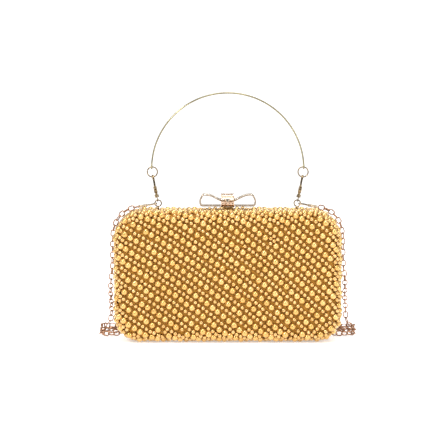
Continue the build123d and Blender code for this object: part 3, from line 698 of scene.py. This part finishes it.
def make_cover(half, body, facing):
    """Amber fabric that carries the beads, drawn in slightly between them."""
    rng = np.random.default_rng(5 if half == "front" else 6)
    wave_count, steepest, pucker_depth = 8, 0.9, 0.06
    waves = rng.uniform(-1, 1, (wave_count, 3))

    def pucker(u, v):
        total = np.zeros(len(u))
        for kx, kz, phase in waves:
            total += np.sin(u * kx * steepest + v * kz * steepest + phase * 6)
        return pucker_depth * total

    cover = skin_piece(
        f"{half}_cover_fabric", facing, (BACKING_DEPTH, pucker), (COVER_DEPTH, flat),
        count=420, rings_round=22, rings_face=40,
    )
    place(cover, body, "pearl_cover", BACKING, f"{half}_pearl_cover")


GLUED_DEPTH, SATIN_DEPTH = 7.25, 7.75       # the lining's two sides below the envelope


def make_lining(half, body, facing):
    """Satin lining glued inside a shell, with soft pulls in the cloth."""
    def pulls(u, v):
        return 0.12 * np.sin(u * 0.21 + 1.3 * np.sin(v * 0.08)) + 0.08 * np.sin(v * 0.33 + u * 0.05)

    lining = skin_piece(
        f"{half}_satin_lining", facing, (GLUED_DEPTH, flat), (SATIN_DEPTH, pulls),
        count=300, rings_round=16, rings_face=30,
    )
    place(lining, body, "lining", SATIN, f"{half}_lining")


# ---- CAD pieces finished with rounded edges ----
def finished(name, body, slot, material, bevel, segments=2):
    """A copy of a CAD piece with its sharp edges rounded, which stands for it."""
    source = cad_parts[name]
    form = bmesh.new()
    form.from_mesh(source.data)
    bmesh.ops.remove_doubles(form, verts=form.verts, dist=1e-6)
    bmesh.ops.dissolve_limit(form, angle_limit=math.radians(1.0), verts=form.verts, edges=form.edges)
    sharp = [edge for edge in form.edges
             if len(edge.link_faces) == 2 and edge.calc_face_angle() > math.radians(35)]
    bmesh.ops.bevel(form, geom=sharp, offset=bevel * MM, segments=segments, profile=0.6, affect="EDGES",
                    clamp_overlap=True)
    bmesh.ops.remove_doubles(form, verts=form.verts, dist=2e-6)
    mesh = bpy.data.meshes.new(name + "_finished")
    form.to_mesh(mesh)
    form.free()
    mesh.shade_smooth()
    mesh.set_sharp_from_angle(angle=math.radians(38))
    piece = bpy.data.objects.new(name + "_finished", mesh)
    bpy.context.scene.collection.objects.link(piece)
    return place(piece, body, slot, material, name)


def restyle(name, material):
    """Give a CAD node that stays as it is a better material."""
    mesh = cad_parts[name].data
    mesh.materials.clear()
    mesh.materials.append(material)


def make_hardware():
    """Hooks, gates, rings, clasps and latch parts, with their edges broken."""
    for side in SIDES:
        for kind, body in (("hook_body", "hook"), ("hook_gate", "gate"), ("swivel_eye", "swivel")):
            finished(f"{kind}_{side}", f"{side}_{body}", "hardware_metal", HARDWARE_METAL, 0.18)
        finished(f"eyelet_{side}", "root", "hardware_metal", HARDWARE_METAL, 0.1)
        finished(f"clasp_body_{side}", "root", "chain_metal", CLASP_METAL, 0.2)
        finished(f"clasp_gate_{side}", f"{side}_clasp_gate", "chain_metal", CLASP_METAL, 0.15)
        finished(f"eyelet_nut_{side}", "root", "steel", STEEL, 0.12)
        for pin in ("hook_gate_pin", "clasp_gate_pin", "hinge_pin"):
            restyle(f"{pin}_{side}", STEEL)
        make_jump_ring(side)
    finished("latch_strike", "front_half", "frame_metal", FRAME_METAL, 0.15)
    finished("latch_bracket", "root", "frame_metal", FRAME_METAL, 0.15)
    finished("latch_lever", "latch", "frame_metal", FRAME_METAL, 0.15)
    for name in ("latch_pin", "latch_spring"):
        restyle(name, STEEL)
    finished("handle_arch", "handle", "handle_metal", HANDLE_METAL, 0.1)


def make_jump_ring(side):
    """Wire ring between hook and handle, bent shut with a hairline gap at its outer side."""
    low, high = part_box(f"handle_ring_{side}")
    wire = (high.y - low.y) / 2
    radius = (high.x - low.x) / 2 - wire
    centre = (low + high) / 2
    gap = 0.12 * MM / radius
    lift = 0.25                             # angle of the gap above the horizontal
    start = lift if side == "right" else math.pi - lift
    turns = np.linspace(start + gap / 2, start + 2 * math.pi - gap / 2, 73)
    line = [(centre.x + radius * math.cos(t), centre.y, centre.z + radius * math.sin(t)) for t in turns]
    vertices, faces = tube_mesh(line, wire, sides=14)
    place(new_object(f"jump_ring_{side}", vertices, faces), f"{side}_ring", "hardware_metal", HARDWARE_METAL,
          f"handle_ring_{side}")


# ---- Bow ----
STONE_PITCH, EDGE_PITCH = 1.3, 1.0
RIBBON_STONE, EDGE_STONE, KNOT_STONE, GRAIN = 1.15, 0.86, 1.2, 1.0
RIBBON_RISE, KNOT_RISE = 0.45, 0.4          # least upward part of the normal where a stone is set


def gem_mesh(diameter):
    """Vertices and faces of a cut stone with its table up along Z and its girdle at the origin."""
    radius = diameter / 2
    rings = [(0.55, 0.42, 0.0), (0.86, 0.24, 0.5), (1.0, 0.0, 0.0), (0.30, -0.55, 0.5)]
    vertices = []
    for size, height, turn in rings:
        for step in range(8):
            angle = (step + turn) * math.pi / 4
            x, y = size * math.cos(angle), size * math.sin(angle)
            vertices.append((radius * x, radius * y, radius * height))
    faces = [tuple(range(8))]
    for i in range(3):
        lean = rings[i + 1][2] > rings[i][2]
        for j in range(8):
            a, b = i * 8 + j, i * 8 + (j + 1) % 8
            c, d = a + 8, b + 8
            if lean:
                before = (i + 1) * 8 + (j - 1) % 8
                faces += [(a, c, b), (a, before, c)]
            else:
                faces += [(a, c, d), (a, d, b)]
    faces.append(tuple(range(31, 23, -1)))
    return np.array(vertices), faces


def set_stone(stones, place_at, normal, diameter, rng, tilt=0.08):
    """Add one stone with its table along normal, tipped a little."""
    normal = np.asarray(normal, float) + np.array([rng.uniform(-tilt, tilt) for _ in range(3)])
    normal /= np.linalg.norm(normal)
    helper = np.array([0.0, 1.0, 0.0]) if abs(normal[1]) < 0.9 else np.array([1.0, 0.0, 0.0])
    side = np.cross(helper, normal)
    side /= np.linalg.norm(side)
    other = np.cross(normal, side)
    turn = rng.uniform(0, math.pi / 4)
    first = side * math.cos(turn) + other * math.sin(turn)
    second = np.cross(normal, first)
    vertices, faces = gem_mesh(diameter)
    turned = vertices @ np.array([first, second, normal])
    stones.add((turned + np.asarray(place_at, float)) * MM, faces, rng.random())


def cast(tree, start, direction):
    """Where a ray in millimetres meets a piece, and the normal there."""
    hit, normal, _, _ = tree.ray_cast(Vector(start) * MM, Vector(direction))
    return (np.array(hit) / MM, np.array(normal)) if hit else (None, None)


def piece_tree(name):
    """Search tree of a CAD node's mesh."""
    form = bmesh.new()
    form.from_mesh(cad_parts[name].data)
    tree = BVHTree.FromBMesh(form)
    form.free()
    return tree


def make_bow():
    """Ribbon bow with pave stones, its knot crossed by a bar with larger stones."""
    rng = random.Random(21)
    stones = Batch()
    grains = Batch()
    below = 0.55                            # from the ribbon's upper side to the stones in its front edge
    for side, sign in SIDES.items():
        finished(f"bow_loop_{side}", "latch", "bow_metal", BOW_METAL, 0.3, 3)
        tree = piece_tree(f"bow_loop_{side}")
        low, high = (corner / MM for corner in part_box(f"bow_loop_{side}"))
        inner_x, outer_x = sorted((abs(low.x), abs(high.x)))
        depth = high.y - low.y
        rows = int((depth - 1.6) / STONE_PITCH)
        for column in range(int((outer_x - inner_x - 1.2) / STONE_PITCH)):
            x = sign * (inner_x + 1.0 + column * STONE_PITCH)
            for row in range(rows + 1):
                y = low.y + depth / 2 + (row - rows / 2) * STONE_PITCH
                at, normal = cast(tree, (x, y, high.z + 5), (0, 0, -1))
                if at is not None and normal[2] > RIBBON_RISE:
                    set_stone(stones, at, normal, RIBBON_STONE, rng)
        for step in range(int((outer_x - inner_x - 0.8) / EDGE_PITCH)):
            x = sign * (inner_x + 0.7 + step * EDGE_PITCH)
            at, normal = cast(tree, (x, low.y + 0.5, high.z + 5), (0, 0, -1))
            if at is not None and normal[2] > RIBBON_RISE:
                centre = (x - normal[0] * below, low.y - 0.02, at[2] - normal[2] * below)
                set_stone(stones, centre, (0, -1, 0), EDGE_STONE, rng)
    finished("bow_knot", "latch", "bow_metal", ROSE_METAL, 0.35, 3)
    # The knot's base takes the lighter bar metal: painted light, a brighter colour over the shade it sits in
    # under the knot.
    finished("bow_base", "latch", "bow_metal", BAR_METAL, 0.15)
    tree = piece_tree("bow_knot")
    low, high = (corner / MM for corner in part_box("bow_knot"))
    half = (high.x - low.x) / 2
    margin, count = 0.9, 8
    columns = [(-half + margin) + k * (2 * half - 2 * margin) / (count - 1) for k in range(count)]
    bar_z = low.z + 0.56 * (high.z - low.z)
    for x in columns:
        for z in (bar_z + 2.6, bar_z + 3.8):
            at, normal = cast(tree, (x, low.y - 5, z), (0, 1, 0))
            if at is not None:
                set_stone(stones, at, normal, KNOT_STONE, rng)
        for row in range(count):
            at, normal = cast(tree, (x, low.y + 3.2 + row * STONE_PITCH, high.z + 5), (0, 0, -1))
            if at is not None and normal[2] > KNOT_RISE:
                set_stone(stones, at, normal, RIBBON_STONE, rng)
    for x in columns[::2]:
        for z in (low.z + 1.4, low.z + 2.9):
            at, normal = cast(tree, (x + 0.7, low.y - 5, z), (0, 1, 0))
            if at is not None:
                set_stone(grains, at, normal, GRAIN, rng)
    make_bar(low.y, bar_z, half + 0.9, stones, rng)
    place(stones.build("bow_stones", smooth=False), "latch", "bow_metal", CLEAR_STONE)
    place(grains.build("bow_dark_stones", smooth=False), "latch", "bow_metal", SMOKE_STONE)


def make_bar(front_y, bar_z, half_length, stones, rng):
    """Rounded bar across the knot's front, with a bezel for its middle stone."""
    radius, axis_y = 1.95, front_y + 0.9
    count = 41
    xs = np.linspace(-half_length, half_length, count)
    line = np.stack([xs, np.full(count, axis_y), np.full(count, bar_z)], -1)
    radii = radius * np.clip(1 - np.abs(xs / half_length) ** 7, 0.03, None) ** 0.5
    vertices, faces = tube_mesh(line * MM, radii * MM, sides=28)
    place(new_object("bow_bar", vertices, faces), "latch", "bow_metal", BAR_METAL)
    face_y = axis_y - radius
    bezel = Batch()
    bezel_z, bezel_radius, halo_radius = bar_z - 0.5, 1.5, 1.24
    ring = [(bezel_radius * math.cos(t), face_y - 0.05, bezel_z + bezel_radius * math.sin(t))
            for t in np.linspace(0, 2 * math.pi, 32, endpoint=False)]
    bezel.add(*tube_mesh(np.array(ring) * MM, 0.28 * MM, sides=10, closed=True))
    for x in (-2.15, 2.15):
        for z in (bar_z - 1.0, bar_z + 1.0):
            claw = [(x, face_y + 0.35, z), (x, face_y + 0.15, z), (x, face_y - 0.05, z)]
            bezel.add(*tube_mesh(np.array(claw) * MM, np.array([0.3, 0.26, 0.12]) * MM, sides=10))
    place(bezel.build("bow_bezel"), "latch", "bow_metal", BAR_METAL)
    middle = Batch()
    set_stone(middle, (0, face_y - 0.1, bezel_z), (0, -1, 0), 2.0, rng, tilt=0)
    place(middle.build("bow_middle_stone", smooth=False), "latch", "bow_metal", SMOKE_STONE)
    for t in np.linspace(0, 2 * math.pi, 12, endpoint=False):
        at = (halo_radius * math.cos(t), face_y - 0.12, bezel_z + halo_radius * math.sin(t))
        set_stone(stones, at, (0, -1, 0), 0.45, rng)
    for x, size in ((-5.2, 1.4), (-3.5, 2.0), (3.5, 2.0), (5.2, 1.4)):
        set_stone(stones, (x, face_y + 0.02, bar_z), (0, -1, 0), size, rng)
        for z in (-1.25, 1.25):
            set_stone(stones, (x * 0.98, face_y + 0.45, bar_z + z), (0, -1, 0.55 * z), 0.8, rng)


# ---- Inner pocket ----
def make_pocket():
    """Flat satin pocket on the rear lining, with a rolled hem at its mouth and a stitched edge."""
    low, high = (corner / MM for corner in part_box("lining_pocket"))
    across, up = 56, 28
    thickness, hem_radius, stitch_radius = 0.5, 0.42, 0.13
    stitch_pitch, stitch_steps = 2.4, np.array([0, 0.7, 1.4])
    xs = np.linspace(low.x + 0.4, high.x - 0.4, across)
    front, back = [], []
    for t in np.linspace(0, 1, up):
        for x in xs:
            centre = 1 - abs(x / high.x) ** 3
            sag = 0.55 * t ** 2 * centre + 0.08 * math.sin(x * 0.24 + 4 * t) * t * centre
            y = high.y - 0.12 - thickness - sag
            z = low.z + 0.3 + t * (high.z - low.z - 0.9) - 0.25 * t * math.sin(x * 0.05)
            front.append((x, y, z))
            back.append((x, y + thickness, z))
    count = across * up
    vertices = np.array(front + back) * MM
    faces = []
    for i in range(up - 1):
        for j in range(across - 1):
            a = i * across + j
            faces.append((a, a + 1, a + across + 1, a + across))
            faces.append((count + a, count + a + across, count + a + across + 1, count + a + 1))
    edge = list(range(across)) + [i * across + across - 1 for i in range(1, up)]
    edge += [(up - 1) * across + j for j in reversed(range(across - 1))]
    edge += [i * across for i in reversed(range(1, up - 1))]
    for a, b in zip(edge, edge[1:] + edge[:1]):
        faces.append((b, a, count + a, count + b))
    pocket = new_object("satin_pocket", vertices, faces)
    place(pocket, "root", "lining", SATIN, "lining_pocket")
    top = np.array(front[-across:])
    hem_vertices, hem_faces = tube_mesh((top + [0, thickness / 2, 0]) * MM, hem_radius * MM, sides=10)
    hem = place(new_object("pocket_hem", hem_vertices, hem_faces), "root", "lining", SATIN)
    stitches = Batch()
    grid = np.array(front).reshape(up, across, 3)
    for line in (grid[:, 1], grid[:, -2], grid[1], grid[-3]):
        walk = walk_along(line)
        for at in np.arange(1.0, walk[-1] - 1.2, stitch_pitch):
            dash = value_at(at + stitch_steps, walk, line)
            dash[:, 1] -= (0.0, 0.12, 0.0)
            stitches.add(*tube_mesh(dash * MM, stitch_radius * MM, sides=6))
    seam = place(stitches.build("pocket_stitches"), "root", "lining", THREAD)


# ---- Floor and light ----
def make_floor_and_light():
    """Pale floor that runs into a white surround, with soft lamps and a dark patch towards the front."""
    reach = 20.0
    corners = [(-reach, -reach, 0), (reach, -reach, 0), (reach, reach, 0), (-reach, reach, 0)]
    floor = new_object("floor", corners, [(0, 1, 2, 3)])
    material, _, _ = principled("pale_floor", (0.95, 0.95, 0.95), Roughness=0.7, Emission_Strength=0.42)
    floor.data.materials.append(material)
    floor.location.z = -0.0004
    world = bpy.data.worlds.new("surround")
    world.use_nodes = True
    tree = world.node_tree
    coordinates = tree.nodes.new("ShaderNodeTexCoord")
    towards = node(tree, "ShaderNodeVectorMath")
    towards.operation = "DOT_PRODUCT"
    towards.inputs[1].default_value = (0.0, -1.0, 0.05)
    tree.links.new(coordinates.outputs["Generated"], towards.inputs[0])
    spread = node(tree, "ShaderNodeMath")
    spread.operation = "MULTIPLY_ADD"
    spread.inputs[1].default_value = 0.5
    spread.inputs[2].default_value = 0.5
    tree.links.new(towards.outputs["Value"], spread.inputs[0])
    greys = ((0.03, 1.12), (0.08, 0.66), (0.66, 0.60), (0.78, 1.25), (0.955, 1.15), (0.985, 0.14))
    shade = ramp(tree, spread.outputs["Value"], *((position, (grey,) * 3) for position, grey in greys))
    tree.links.new(shade, tree.nodes["Background"].inputs["Color"])
    bpy.context.scene.world = world
    bpy.context.scene.view_settings.view_transform = "Standard"
    lamps = [                               # name, place, size in metres, power in watts
        ("key", (-0.75, -1.1, 0.95), 0.28, 10.0),
        ("fill", (0.9, -1.0, 0.55), 0.36, 4.0),
        ("top", (0.0, -0.2, 1.3), 0.7, 12.0),
        ("back", (0.5, 1.1, 0.8), 0.6, 4.0),
    ]
    for name, location, size, power in lamps:
        light = bpy.data.lights.new(name, "AREA")
        light.energy = power
        light.size = size
        lamp = bpy.data.objects.new(name, light)
        lamp.location = location
        lamp.rotation_euler = (Vector((0, 0, 0.08)) - Vector(location)).to_track_quat("-Z", "Y").to_euler()
        bpy.context.scene.collection.objects.link(lamp)


make_camera()
make_chain()
for half, body, facing, seed in (("front", "front_half", -1, 3), ("rear", "root", 1, 4)):
    make_beads(half, body, facing, seed)
    make_cover(half, body, facing)
    make_lining(half, body, facing)
    finished(f"{half}_frame", body, "frame_metal", FRAME_METAL, 0.35)
    restyle(f"{half}_shell", BOARD)
make_pocket()
make_hardware()
make_bow()
make_floor_and_light()
